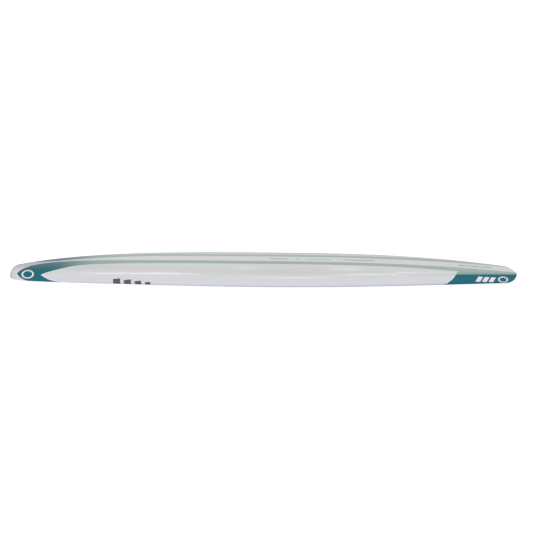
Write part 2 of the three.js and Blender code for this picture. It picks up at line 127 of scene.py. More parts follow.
# plain marks near the ends, printed square to a direction that rises a little and turns by some degrees to
# the board's middle, and only so far over the girth; their lengths and heights are halves
PRINT_RISE = math.radians(13)
PRINT_REACH = 0.065
WHITE_RINGS = [
    {"along": 0.168, "girth": 0.194, "turn": 18, "length": 0.04, "height": 0.029, "stroke": 0.26},
    {"along": 3.391, "girth": 0.197, "turn": -18, "length": 0.033, "height": 0.0205, "stroke": 0.3},
]
WHITE_BARS = [
    {"along": along, "girth": girth, "turn": -18, "length": 0.0145, "height": height, "slant": 0.5}
    for along, girth, height in ((3.213, 0.242, 0.0175), (3.261, 0.232, 0.0170), (3.309, 0.221, 0.0165))
]
# plain dark bars, wrapped over the surface: the start and end of each along the board, and over the girth
DARK_BARS = [
    ((0.774, 0.822), (0.352, 0.420)),
    ((0.846, 0.894), (0.366, 0.427)),
    ((0.918, 0.962), (0.380, 0.434)),
    ((0.986, 1.022), (0.393, 0.440)),
]
FAINT_BARS = [
    ((1.808, 1.932), (-0.011, 0.011)),
    ((1.982, 2.018), (-0.009, 0.009)),
    ((2.053, 2.233), (-0.009, 0.009)),
    ((2.318, 2.542), (-0.012, 0.012)),
    ((3.049, 3.069), (-0.006, 0.006)),
]

# ---- mesh density ----
GIRTH_POINTS = 96
ROUND_STEPS = 64

HALF = WIDTH / 2

# ---- camera, room and lamps ----
CAMERA = {
    "distance": 5.21, "elevation": 12.89, "roll": 0.54, "focal": 50.06, "shift_x": 0.0101, "shift_y": 0.0011,
}
AIM_HEIGHT = 0.07
# how bright the room is to the front, to the back, to the back on the nose side and overhead, with the
# heights between which its walls turn into its ceiling: as light, and in the gloss coat
ROOM_LIGHT = {"front": 1.22, "back": 0.88, "nose": 0.88, "overhead": 0.88, "low": 0.15, "high": 0.85}
ROOM_GLOSS = {"front": 0.08, "back": 0.60, "nose": 0.19, "overhead": 0.06, "low": 0.25, "high": 0.75}
# where the room's nose side turns into the rest, and its front into its back, as a direction's X and Y
ROOM_TURNS = {"nose": (-0.36, -0.16), "front": (-0.5, 0.5)}
FLOOR_GLOW = {"as_light": 0.95, "in_gloss": 0.02}
# how bright the room and the floor are to the camera
SEEN_GLOW = 1.05
FLOOR_TINT = (0.92, 0.945, 1.06, 1)
FLOOR_DROP = 0.0005
FLOOR_REACH = 30
# a lamp that the gloss coat doesn't show, and soft lamps that it shows as pale streaks
NOSE_FILL = {"place": (-1.65, 0.1, 0.95), "aim": (-1.65, -0.05, 0.1), "size": (0.5, 0.5), "glow": 1.15}
LAMPS = {
    "lamp_front": {"place": (-1.5, 1.0, 2.68), "aim": (-0.8, -0.32, 0.1), "size": (1.5, 0.22), "glow": 5},
    "lamp_nose": {"place": (-0.2, 2.36, 1.58), "aim": (-0.2, -0.26, 0.12), "size": (0.18, 0.1), "glow": 3},
    "lamp_middle": {"place": (0.35, 0.03, 3.06), "aim": (0.35, -0.37, 0.09), "size": (0.85, 0.22), "glow": 6},
    "lamp_tail": {"place": (0.92, 2.4, 1.49), "aim": (0.92, -0.25, 0.12), "size": (0.26, 0.1), "glow": 3},
    "lamp_rear": {"place": (1.3, 1.54, 2.39), "aim": (1.2, -0.32, 0.1), "size": (0.7, 0.2), "glow": 4.5},
    "lamp_far": {"place": (1.9, 2.1, 1.8), "aim": (2.5, -0.25, 0.1), "size": (0.85, 0.14), "glow": 3},
}


# ---- the board's shape ----
def share_of(value):
    return np.clip(value, 0, 1)


def to_x(along):
    return along - LENGTH / 2


def nose_share(along):
    return share_of(1 - along / WIDE_POINT)


def tail_share(along):
    return share_of((along - WIDE_POINT) / (LENGTH - WIDE_POINT))


def half_width(along):
    nose = HALF * (1 - nose_share(along) ** NOSE_PLAN["curve"]) ** (1 / NOSE_PLAN["fullness"])
    corner = TAIL_PLAN["corner"]
    straight = HALF - (HALF - TAIL_PLAN["half_width"]) * tail_share(along) ** TAIL_PLAN["curve"]
    into = np.maximum(along - (LENGTH - corner), 0)
    tail = straight - corner + np.sqrt(np.maximum(corner**2 - into**2, 0))
    return np.where(along < WIDE_POINT, nose, tail)


def rounded_end(distance, reach):
    """A quarter ellipse: 0 at the very end, 1 once the distance reaches the reach."""
    return np.sqrt(1 - share_of(1 - distance / reach) ** 2)


def section(along):
    """The widest line's height, its half width, the reach above and below it, and the hull's power."""
    along = np.asarray(along, dtype=float)
    nose = nose_share(along)
    tail = tail_share(along)
    kick = share_of(1 - along / NOSE_ROCKER["start"]) ** NOSE_ROCKER["curve"]
    hull = HULL_TOP - NOSE_ROCKER["drop"] * kick - TAIL_ROCKER["drop"] * tail ** TAIL_ROCKER["curve"]
    nose_thin = (THICKNESS - NOSE_FOIL["thickness"]) * nose ** NOSE_FOIL["curve"]
    tail_thin = (THICKNESS - TAIL_FOIL["thickness"]) * tail ** TAIL_FOIL["curve"]
    into = share_of((along - LENGTH + TAIL_END["round"]) / TAIL_END["round"]) ** TAIL_END["curve"]
    tuck_share = 1 - np.maximum(1 - into, 0) ** (1 / TAIL_END["curve"])
    tuck = (TAIL_FOIL["thickness"] - TAIL_END["face"]) * tuck_share
    deck = hull - THICKNESS + nose_thin + tail_thin + tuck
    share = RAIL["middle"] + (RAIL["nose"] - RAIL["middle"]) * nose**2
    share = share + (RAIL["tail"] - RAIL["middle"]) * tail**2
    rail = deck + share * (hull - deck)
    return {
        "rail": rail,
        "width": half_width(along),
        "rise": (hull - rail) * rounded_end(along, NOSE_END["hull_round"]),
        "drop": (rail - deck) * rounded_end(along, NOSE_END["deck_round"]),
        "power": HULL_POWER["middle"] + (HULL_POWER["tail"] - HULL_POWER["middle"]) * tail**2,
    }


def surface_points(along, angle):
    """Points on the board: angle 0 is the hull's centre line, pi / 2 the rail, pi the deck's centre line."""
    at = section(along)
    sine = np.sin(angle)
    cosine = np.cos(angle)
    on_hull = cosine >= 0
    power = np.where(on_hull, at["power"], DECK_POWER)
    size = (np.abs(sine) ** power + np.abs(cosine) ** power) ** (1 / power)
    y = at["width"] * sine / size
    z = at["rail"] + np.where(on_hull, at["rise"], at["drop"]) * cosine / size
    x = to_x(along) + 0 * y
    return np.stack([x, y, z], -1)


def hull_height(along):
    at = section(along)
    return at["rail"] + at["rise"]


def deck_height(along, y=0.0):
    at = section(along)
    return at["rail"] - at["drop"] * (1 - share_of(np.abs(y) / at["width"]) ** DECK_POWER) ** (1 / DECK_POWER)


# ---- girth: the distance over the surface from the hull's centre line ----
TABLE_ALONG = np.linspace(0.002, LENGTH - 0.0005, 701)
TABLE_ANGLE = np.linspace(0, math.pi, 541)


def distance_run(points):
    """The distance over the surface from the first point, along each row of points."""
    steps = np.linalg.norm(np.diff(points, axis=-2), axis=-1)
    return np.concatenate([np.zeros((*steps.shape[:-1], 1)), np.cumsum(steps, axis=-1)], axis=-1)


GIRTH_TABLE = distance_run(surface_points(TABLE_ALONG[:, None], TABLE_ANGLE[None, :]))


def girth_at(points):
    """The girth of points on or just under the surface, from bilinear look-up in the table."""
    along = points[:, 0] + LENGTH / 2
    at = section(along)
    above = points[:, 2] - at["rail"]
    reach = np.where(above >= 0, at["rise"], at["drop"])
    angle = np.arctan2(np.abs(points[:, 1]) / np.maximum(at["width"], 1e-6), above / np.maximum(reach, 1e-6))
    row = np.clip((along - TABLE_ALONG[0]) / (TABLE_ALONG[1] - TABLE_ALONG[0]), 0, len(TABLE_ALONG) - 1.001)
    column = np.clip(angle / (TABLE_ANGLE[1] - TABLE_ANGLE[0]), 0, len(TABLE_ANGLE) - 1.001)
    i = row.astype(int)
    j = column.astype(int)
    u = row - i
    v = column - j
    near = GIRTH_TABLE[i, j] * (1 - v) + GIRTH_TABLE[i, j + 1] * v
    far = GIRTH_TABLE[i + 1, j] * (1 - v) + GIRTH_TABLE[i + 1, j + 1] * v
    return near * (1 - u) + far * u


# ---- mesh helpers ----
def new_object(name, data):
    thing = bpy.data.objects.new(name, data)
    bpy.context.collection.objects.link(thing)
    return thing


def new_piece(name, vertices, faces):
    mesh = bpy.data.meshes.new(name)
    mesh.from_pydata([tuple(map(float, v)) for v in vertices], [], faces)
    work = bmesh.new()
    work.from_mesh(mesh)
    bmesh.ops.recalc_face_normals(work, faces=work.faces)
    work.to_mesh(mesh)
    work.free()
    return new_object(name, mesh)


def bake_modifiers(piece):
    """Applies the piece's modifiers to its own mesh."""
    shown = piece.evaluated_get(bpy.context.evaluated_depsgraph_get())
    mesh = bpy.data.meshes.new_from_object(shown)
    piece.modifiers.clear()
    old = piece.data
    piece.data = mesh
    mesh.name = piece.name
    bpy.data.meshes.remove(old)


def cut(piece, tool):
    """Takes the tool's space out of the piece, and removes the tool."""
    change = piece.modifiers.new("cut", "BOOLEAN")
    change.operation = "DIFFERENCE"
    change.solver = "EXACT"
    change.object = tool
    bake_modifiers(piece)
    mesh = tool.data
    bpy.data.objects.remove(tool)
    bpy.data.meshes.remove(mesh)


def bevel(piece, width, segments=3, angle=30):
    rounding = piece.modifiers.new("bevel", "BEVEL")
    rounding.width = width
    rounding.segments = segments
    rounding.limit_method = "ANGLE"
    rounding.angle_limit = math.radians(angle)
    rounding.use_clamp_overlap = True
    bake_modifiers(piece)
    return piece


def shade(piece, sharp=32):
    for face in piece.data.polygons:
        face.use_smooth = True
    piece.data.set_sharp_from_angle(angle=math.radians(sharp))
    return piece


def grid_faces(rows, columns, first, closed=False):
    """Quads over a grid of vertices numbered row by row from `first`."""
    faces = []
    for i in range(rows - 1):
        for j in range(columns if closed else columns - 1):
            a = first + i * columns + j
            b = first + i * columns + (j + 1) % columns
            faces.append((a, a + columns, b + columns, b))
    return faces


def tube_faces(rows, columns):
    """Faces of a tube of rings of vertices, closed at both ends."""
    faces = grid_faces(rows, columns, 0, closed=True)
    faces.append(tuple(range(columns)))
    faces.append(tuple(range((rows - 1) * columns, rows * columns)))
    return faces


def sheet_faces(rows, columns):
    """Faces of two like grids of vertices, joined to each other along their first and last columns."""
    count = rows * columns
    faces = grid_faces(rows, columns, 0) + grid_faces(rows, columns, count)
    for i in range(rows - 1):
        for j in (0, columns - 1):
            a = i * columns + j
            faces.append((a, a + columns, a + columns + count, a + count))
    return faces


def stacked_rings(name, along, profile, straight=0, closed=False):
    """A solid of level rings, from a profile of (radius, height). A closed profile makes a ring or a tube.

    A ring is a circle, or two half circles whose centres are `straight` each side of its place.
    """
    vertices = []
    for radius, height in profile:
        for k in range(ROUND_STEPS):
            turn = 2 * math.pi * (k + 0.5) / ROUND_STEPS
            shift = straight if math.cos(turn) > 0 else -straight
            x = to_x(along) + shift + radius * math.cos(turn)
            vertices.append((x, radius * math.sin(turn), height))
    rows = len(profile)
    if not closed:
        return new_piece(name, vertices, tube_faces(rows, ROUND_STEPS))
    faces = grid_faces(rows, ROUND_STEPS, 0, closed=True)
    last = (rows - 1) * ROUND_STEPS
    for k in range(ROUND_STEPS):
        following = (k + 1) % ROUND_STEPS
        faces.append((last + k, k, following, last + following))
    return new_piece(name, vertices, faces)


def box_tool(name, x, z, size_x, size_y, size_z, lengthwise=1):
    """A box on the centre line, with its length cut into equal stretches."""
    vertices = []
    for k in range(lengthwise + 1):
        px = x - size_x / 2 + size_x * k / lengthwise
        for dy, dz in ((-1, -1), (1, -1), (1, 1), (-1, 1)):
            vertices.append((px, dy * size_y / 2, z + dz * size_z / 2))
    return new_piece(name, vertices, tube_faces(lengthwise + 1, 4))


# ---- the two halves of the laminate ----
def station_places():
    """Places along the board, closer together at its ends and where the paint has curved edges."""
    nose_end = 0.15
    nose_graphic_end = 0.50
    tail_graphic = (2.90, 3.12)
    tail_end = 0.09
    return np.concatenate([
        nose_end * np.linspace(0, 1, 41)[1:] ** 2.5,
        np.linspace(nose_end, nose_graphic_end, 60)[1:],
        np.linspace(nose_graphic_end, tail_graphic[0], 150)[1:],
        np.linspace(*tail_graphic, 40)[1:],
        np.linspace(tail_graphic[1], LENGTH - tail_end, 28)[1:],
        LENGTH - tail_end * (1 - np.sin(np.linspace(0, math.pi / 2, 37)[1:])),
    ])


def seam_angle(along):
    """The girth angle at which the two halves of the laminate meet, just above the widest line."""
    at = section(along)
    rise = np.minimum(SEAM_RISE, 0.5 * at["rise"]) / at["rise"]
    across = (1 - rise ** at["power"]) ** (1 / at["power"])
    return np.arctan2(across, rise)


def even_angles(along, first, last, count):
    """Girth angles that are evenly spaced over the surface at one place along the board."""
    dense = np.linspace(first, last, 1201)
    run = distance_run(surface_points(np.full_like(dense, along), dense))
    return np.interp(np.linspace(0, run[-1], count), run, dense)


def outward_normals(points, along):
    """Unit normals of a grid of surface points, pointing out of the board."""
    normals = np.cross(np.gradient(points, axis=0), np.gradient(points, axis=1))
    normals /= np.maximum(np.linalg.norm(normals, axis=2, keepdims=True), 1e-12)
    rail = np.broadcast_to(section(along)["rail"][:, None], points.shape[:2])
    middle = np.stack([points[:, :, 0], 0 * points[:, :, 1], rail], -1)
    out = np.sign(np.sum(normals * (points - middle), axis=2, keepdims=True))
    return normals * np.where(out == 0, 1, out)


def laminate_half(name, on_hull):
    """A closed shell of the laminate's thickness over the hull or over the deck."""
    along = station_places()
    seam = seam_angle(along)
    first = -seam if on_hull else seam
    last = seam if on_hull else 2 * math.pi - seam
    angles = np.stack([even_angles(*place, GIRTH_POINTS) for place in zip(along, first, last)])
    outer = surface_points(along[:, None], angles)
    at = section(along)
    thin_share = 0.3
    limits = [thin_share * at[reach] for reach in ("rise", "drop", "width")]
    thickness = np.minimum.reduce([*limits, np.full_like(along, SKIN)])
    inner = outer - thickness[:, None, None] * outward_normals(outer, along)
    inner[0, :, 0] = outer[0, :, 0] + thickness[0]
    inner[-1, :, 0] = np.minimum(inner[-1, :, 0], LENGTH / 2 - thickness[-1])

    rows, columns = outer.shape[:2]
    count = rows * columns
    faces = sheet_faces(rows, columns)
    for i in (0, rows - 1):
        low = i * columns
        high = low + columns - 1
        faces.append(tuple(range(low, high + 1)))
        faces.append(tuple(range(low + count, high + count + 1)))
        faces.append((low, high, high + count, low + count))
    vertices = np.concatenate([outer.reshape(-1, 3), inner.reshape(-1, 3)])
    return new_piece(name, vertices, faces)


# ---- the paint, as smooth fields on the laminate's vertices ----
def smooth_curve(points, steps=14):
    """A Catmull-Rom curve through the points."""
    points = np.array(points)
    path = np.concatenate([[2 * points[0] - points[1]], points, [2 * points[-1] - points[-2]]])
    curve = []
    for k in range(1, len(path) - 2):
        for t in np.arange(steps) / steps:
            a, b, c, d = path[k - 1 : k + 3]
            curve.append(b + 0.5 * t * (c - a + t * (2 * a - 5 * b + 4 * c - d + t * (3 * (b - c) + d - a))))
    return curve


def teal_outline():
    return np.array([point for edge in TEAL_EDGES for point in smooth_curve(edge)])


def signed_distance(points, outline):
    """The distance of each (along, girth) point to a closed outline: positive inside it, negative outside."""
    nearest = np.full(len(points), 1e9)
    inside = np.zeros(len(points), dtype=bool)
    for start, end in zip(outline, np.roll(outline, -1, axis=0)):
        edge = end - start
        length = max(float(edge @ edge), 1e-18)
        share = np.clip(((points - start) @ edge) / length, 0, 1)
        gap = points - start - share[:, None] * edge
        nearest = np.minimum(nearest, np.einsum("ij,ij->i", gap, gap))
        crosses = (start[1] > points[:, 1]) != (end[1] > points[:, 1])
        rise = edge[1] if edge[1] != 0 else 1e-18
        inside ^= crosses & (points[:, 0] < start[0] + (points[:, 1] - start[1]) * edge[0] / rise)
    return np.sqrt(nearest) * np.where(inside, 1, -1)


def add_field(piece, name, values):
    field = piece.data.attributes.new(name, "FLOAT", "POINT")
    field.data.foreach_set("value", np.asarray(values, dtype=np.float32))


def add_paint_fields(piece):
    places = np.empty(3 * len(piece.data.vertices))
    piece.data.vertices.foreach_get("co", places)
    places = places.reshape(-1, 3)
    along = places[:, 0] + LENGTH / 2
    girth = girth_at(places)
    add_field(piece, "along", along)
    add_field(piece, "girth", girth)
    add_field(piece, "teal", signed_distance(np.stack([along, girth], -1), teal_outline()))


# ---- shader helpers ----
class NodeTree:
    """A node tree, with short calls for the nodes that the materials and the room share."""

    def __init__(self, tree):
        self.nodes = tree.nodes
        self.links = tree.links

    def add(self, kind):
        return self.nodes.new("ShaderNode" + kind)

    def put(self, socket, value):
        if isinstance(value, bpy.types.NodeSocket):
            self.links.new(value, socket)
        else:
            socket.default_value = value

    def put_all(self, sockets, values):
        for socket, value in zip(sockets, values):
            self.put(socket, value)

    def set(self, node, **values):
        """Sets inputs of a node by name, with _ for each space."""
        for name, value in values.items():
            self.put(node.inputs[name.replace("_", " ")], value)

    def axes(self, vector):
        """The vector's X, Y and Z."""
        node = self.add("SeparateXYZ")
        self.put(node.inputs[0], vector)
        return node.outputs

    def ramp(self, value, low, high, to_low=0.0, to_high=1.0):
        node = self.add("MapRange")
        node.interpolation_type = "SMOOTHSTEP"
        self.put_all(node.inputs, (value, low, high, to_low, to_high))
        return node.outputs[0]


class Shader(NodeTree):
    """A new material and its nodes."""

    def __init__(self, name):
        self.material = bpy.data.materials.new(name)
        self.material.use_nodes = True
        super().__init__(self.material.node_tree)
        self.surface = self.nodes["Principled BSDF"]
        self.place = self.add("TexCoord").outputs["Object"]

    def math(self, operation, a, b=0.0):
        node = self.add("Math")
        node.operation = operation
        self.put_all(node.inputs, (a, b))
        return node.outputs[0]

    def vector(self, operation, a, b):
        node = self.add("VectorMath")
        node.operation = operation
        self.put_all(node.inputs, (a, b))
        return node.outputs["Value" if operation == "DOT_PRODUCT" else "Vector"]

    def folded_place(self):
        """The shading point, with the board's two sides folded onto +Y."""
        x, y, z = self.axes(self.place)
        node = self.add("CombineXYZ")
        self.put_all(node.inputs, (x, self.math("ABSOLUTE", y), z))
        return node.outputs[0]

    def field(self, name):
        node = self.add("Attribute")
        node.attribute_name = name
        return node.outputs["Fac"]

    def noise(self, scale, detail=4.0, roughness=0.55, stretch=(1, 1, 1)):
        mapping = self.add("Mapping")
        self.set(mapping, Vector=self.place, Scale=stretch)
        node = self.add("TexNoise")
        self.set(node, Vector=mapping.outputs["Vector"], Scale=scale, Detail=detail, Roughness=roughness)
        return node.outputs["Fac"]

    def cells(self, scale):
        """The distance from the middle of the nearest cell."""
        node = self.add("TexVoronoi")
        self.set(node, Vector=self.place, Scale=scale)
        return node.outputs["Distance"]

    def mix(self, share, first, second):
        node = self.add("Mix")
        node.data_type = "RGBA"
        self.put(node.inputs[0], share)
        self.put_all(node.inputs[6:8], (first, second))
        return node.outputs[2]

    def finish(self, tone, roughness, relief, depth, strength, **others):
        """Sets the colour, the roughness and the relief, and gives the finished material."""
        bump = self.add("Bump")
        self.set(bump, Height=relief, Distance=depth, Strength=strength)
        self.set(self.surface, Base_Color=tone, Roughness=roughness, Normal=bump.outputs["Normal"], **others)
        return self.material


def color(red, green, blue):
    """A colour given in sRGB, 0 to 255, as the shader's linear one."""
    linear = [((c / 255 + 0.055) / 1.055) ** 2.4 if c > 10 else c / 255 / 12.92 for c in (red, green, blue)]
    return (*linear, 1.0)


# ---- materials ----
WHITE_TONES = (color(221, 221, 221), color(217, 217, 218))
TEAL_TONES = (color(0, 112, 124), color(0, 106, 118))
TEAL_PALE = color(128, 166, 160)
LINE_WHITE = color(238, 230, 231)
MARK_DARK = color(92, 94, 98)
MARK_FAINT = color(128, 129, 130)
# painted shade: a dark tone laid into the fin slot for the shadow in its depth
PAINTED_SHADE = color(46, 42, 38)
BEAD_TONES = (color(246, 246, 242), color(214, 214, 208))
DENSE_TONES = (color(222, 210, 168), color(196, 182, 138))
WOOD_TONES = (color(214, 178, 122), color(158, 116, 68))
FIN_BOX_TONES = (color(216, 217, 219), color(208, 209, 212))
WHITE_MOULDING_TONES = (color(224, 226, 228), color(212, 214, 217))
BLACK_MOULDING_TONES = (color(34, 35, 37), color(24, 25, 27))
GRIP_TONES = (color(44, 45, 47), color(30, 31, 33))
EVA_TONES = (color(112, 117, 122), color(98, 103, 108))
EVA_PORES = color(82, 86, 91)
STEEL_TONES = (color(206, 208, 210), color(180, 182, 185))
BRASS_TONES = (color(222, 184, 108), color(176, 134, 66))
SEAL_TONES = (color(34, 34, 35), color(22, 22, 23))
FLOOR_TONES = (color(92, 92, 92), color(88, 88, 88))


def mark_middle(mark):
    """Where the middle of a mark is, on the +Y side of the board."""
    angles = np.linspace(0, math.pi, 2001)
    run = distance_run(surface_points(np.full_like(angles, mark["along"]), angles))
    angle = np.interp(mark["girth"], run, angles)
    return surface_points(np.array(mark["along"]), angle)


def printed_place(shader, folded, mark):
    """How far a shading point is from a mark's middle: along the mark, and down it."""
    turn = math.radians(mark["turn"])
    level = math.cos(PRINT_RISE)
    facing = Vector((math.sin(turn) * level, math.cos(turn) * level, math.sin(PRINT_RISE)))
    lengthwise = Vector((math.cos(turn), -math.sin(turn), 0))
    offset = shader.vector("SUBTRACT", folded, tuple(mark_middle(mark)))
    along = shader.vector("DOT_PRODUCT", offset, lengthwise)
    return along, shader.vector("DOT_PRODUCT", offset, facing.cross(lengthwise))


def near_print(shader, girth, mark):
    """1 over the part of the surface that a mark is printed on, 0 on the board's other faces."""
    off = shader.math("ABSOLUTE", shader.math("SUBTRACT", girth, mark["girth"]))
    return shader.ramp(off, PRINT_REACH - 2 * PAINT_EDGE, PRINT_REACH, 1.0, 0.0)


def printed_bar_mask(shader, folded, girth, mark):
    """1 inside a plain slanted bar, 0 outside."""
    along, down = printed_place(shader, folded, mark)
    along = shader.math("ADD", along, shader.math("MULTIPLY", down, mark["slant"]))
    off_along = shader.math("SUBTRACT", shader.math("ABSOLUTE", along), mark["length"])
    off_down = shader.math("SUBTRACT", shader.math("ABSOLUTE", down), mark["height"])
    bar = shader.ramp(shader.math("MAXIMUM", off_along, off_down), -PAINT_EDGE, PAINT_EDGE, 1.0, 0.0)
    return shader.math("MULTIPLY", bar, near_print(shader, girth, mark))


def printed_ring_mask(shader, folded, girth, mark):
    """1 on an oval ring, whose stroke is a share of its size."""
    along, down = printed_place(shader, folded, mark)
    along = shader.math("DIVIDE", along, mark["length"])
    down = shader.math("DIVIDE", down, mark["height"])
    square = shader.math("ADD", shader.math("MULTIPLY", along, along), shader.math("MULTIPLY", down, down))
    half_stroke = mark["stroke"] / 2
    off = shader.math("ABSOLUTE", shader.math("SUBTRACT", shader.math("SQRT", square), 1 - half_stroke))
    ring = shader.ramp(off, half_stroke - RING_EDGE, half_stroke + RING_EDGE, 1.0, 0.0)
    return shader.math("MULTIPLY", ring, near_print(shader, girth, mark))


def wrapped_bar_mask(shader, along, girth, bar):
    """1 inside a bar wrapped over the surface, 0 outside."""
    off = []
    for place, (start, end) in zip((along, girth), bar):
        off += [shader.math("SUBTRACT", start, place), shader.math("SUBTRACT", place, end)]
    return shader.ramp(most_of(shader, off), -PAINT_EDGE, PAINT_EDGE, 1.0, 0.0)


def most_of(shader, masks):
    most = masks[0]
    for mask in masks[1:]:
        most = shader.math("MAXIMUM", most, mask)
    return most


def painted_laminate():
    """White and teal board paint under a clear gloss coat, with an orange-peel surface."""
    shader = Shader("painted_laminate")
    along = shader.field("along")
    girth = shader.field("girth")
    teal = shader.field("teal")
    folded = shader.folded_place()
    drift = shader.noise(2.2, 3.0)
    white = shader.mix(drift, *WHITE_TONES)
    # the teal fades to a paler tint along the flat of the hull
    upward = shader.axes(shader.add("NewGeometry").outputs["Normal"])[2]
    on_flat = shader.ramp(upward, FADE["rail"], FADE["flat"])
    pale = shader.math("MULTIPLY", shader.ramp(along, FADE["start"], FADE["end"]), on_flat)
    teal_paint = shader.mix(pale, shader.mix(drift, *TEAL_TONES), TEAL_PALE)
    in_teal = shader.ramp(teal, -PAINT_EDGE, PAINT_EDGE)
    in_line = shader.ramp(teal, -PINSTRIPE - PAINT_EDGE, -PINSTRIPE + PAINT_EDGE)
    white_marks = [printed_bar_mask(shader, folded, girth, mark) for mark in WHITE_BARS]
    white_marks += [printed_ring_mask(shader, folded, girth, mark) for mark in WHITE_RINGS]
    dark_marks = [wrapped_bar_mask(shader, along, girth, bar) for bar in DARK_BARS]
    faint_marks = [wrapped_bar_mask(shader, along, girth, bar) for bar in FAINT_BARS]
    paint = shader.mix(in_line, white, LINE_WHITE)
    paint = shader.mix(most_of(shader, dark_marks), paint, MARK_DARK)
    paint = shader.mix(most_of(shader, faint_marks), paint, MARK_FAINT)
    paint = shader.mix(in_teal, paint, teal_paint)
    paint = shader.mix(most_of(shader, white_marks), paint, LINE_WHITE)
    rub = shader.noise(26.0, 6.0, stretch=(0.25, 1, 1))
    return shader.finish(
        paint, shader.ramp(rub, 0.3, 0.75, 0.32, 0.42), shader.noise(210.0, 2.0), depth=0.00025,
        strength=0.25, IOR=1.5, Coat_Weight=1.0, Coat_IOR=1.6, Coat_Roughness=0.17,
    )


def bead_foam():
    """Expanded foam: packed beads, each a few millimetres across."""
    shader = Shader("bead_foam")
    beads = shader.cells(260.0)
    tone = shader.mix(shader.ramp(beads, 0.0, 0.7), *BEAD_TONES)
    return shader.finish(tone, 0.9, beads, depth=0.0008, strength=0.6)


def dense_foam():
    """High-density foam, with fine pores."""
    shader = Shader("dense_foam")
    pores = shader.noise(900.0, 6.0, 0.7)
    return shader.finish(shader.mix(pores, *DENSE_TONES), 0.85, pores, depth=0.0003, strength=0.5)


def stringer_wood():
    """Softwood with its grain along the board."""
    shader = Shader("stringer_wood")
    grain = shader.noise(120.0, 7.0, 0.6, stretch=(0.03, 1, 1))
    tone = shader.mix(shader.ramp(grain, 0.35, 0.65), *WOOD_TONES)
    return shader.finish(tone, 0.62, grain, depth=0.0002, strength=0.4)


def moulded_plastic(name, tones, roughness, painted_shade_mask=None):
    """Injection-moulded plastic with a fine spark-eroded grain, and a painted shade, a dark tone, where the
    mask is 1.
    """
    shader = Shader(name)
    grain = shader.noise(1400.0, 3.0)
    paint = shader.mix(shader.noise(30.0, 3.0), *tones)
    # painted shade: the dark tone over the mask stands in for shadow
    if painted_shade_mask:
        paint = shader.mix(painted_shade_mask(shader), paint, PAINTED_SHADE)
    gloss = shader.ramp(grain, 0.3, 0.7, roughness - 0.06, roughness + 0.08)
    return shader.finish(paint, gloss, grain, depth=0.00008, strength=0.5)


def fin_slot_shade_mask(shader):
    """1 in the fin slot and its notch, and just over their lips: where the slot's depth is painted dark as
    shade.
    """
    x, y = shader.axes(shader.place)[:2]
    middle = to_x(FIN_BOX["at"])
    lip = 0.0008
    masks = []
    for length, width in ((FIN_SLOT["length"], FIN_SLOT["width"]), (FIN_TRACK["notch"], FIN_TRACK["width"])):
        reach = length / 2 + lip
        area = ((middle - reach, middle + reach), (-width / 2 - lip, width / 2 + lip))
        masks.append(wrapped_bar_mask(shader, x, y, area))
    return most_of(shader, masks)


def grip_rubber():
    shader = Shader("grip_rubber")
    grain = shader.noise(1100.0, 4.0)
    tone = shader.mix(shader.noise(40.0), *GRIP_TONES)
    return shader.finish(tone, shader.ramp(grain, 0.3, 0.7, 0.62, 0.82), grain, depth=0.00015, strength=0.6)


def eva_foam():
    """Closed-cell pad foam: matt, finely pored, a little lighter where it has been rubbed."""
    shader = Shader("eva_foam")
    pores = shader.noise(1600.0, 3.0)
    patches = shader.noise(7.0, 5.0)
    tone = shader.mix(shader.ramp(patches, 0.3, 0.7), *EVA_TONES)
    tone = shader.mix(shader.ramp(pores, 0.55, 0.8), tone, EVA_PORES)
    return shader.finish(tone, 0.93, pores, depth=0.0002, strength=0.7)


def drawn_steel():
    shader = Shader("drawn_steel")
    lines = shader.noise(500.0, 3.0, stretch=(1, 0.02, 1))
    tone = shader.mix(lines, *STEEL_TONES)
    gloss = shader.ramp(lines, 0.3, 0.7, 0.2, 0.34)
    return shader.finish(tone, gloss, lines, depth=0.00003, strength=0.4, Metallic=1)


def turned_brass():
    """Brass with fine turning marks round its axis and a little tarnish."""
    shader = Shader("turned_brass")
    tarnish = shader.noise(160.0, 5.0)
    marks = shader.noise(2400.0, 2.0)
    tone = shader.mix(shader.ramp(tarnish, 0.4, 0.75), *BRASS_TONES)
    gloss = shader.ramp(tarnish, 0.3, 0.8, 0.24, 0.42)
    return shader.finish(tone, gloss, marks, depth=0.00003, strength=0.4, Metallic=1)


def seal_rubber():
    shader = Shader("seal_rubber")
    skin = shader.noise(1800.0, 2.0)
    return shader.finish(shader.mix(skin, *SEAL_TONES), 0.5, skin, depth=0.00005, strength=0.5)


# ---- fittings ----
def place_piece(piece, material, slot, body, *nodes):
    """Gives a piece its material, and lets it stand for its CAD nodes. The slot is not used."""
    piece.data.materials.clear()
    piece.data.materials.append(material)
    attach(piece, body)
    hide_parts(*nodes)


def cut_opening(piece, along, radius, straight=0, top=OPENING["top"]):
    """Cuts a round or rounded opening up through a sheet of the deck side."""
    cut(piece, stacked_rings("opening", along, [(radius, OPENING["foot"]), (radius, top)], straight))


def face_at(fitting):
    """The height of the deck's face in the middle of a fitting."""
    return float(deck_height(fitting["at"]))


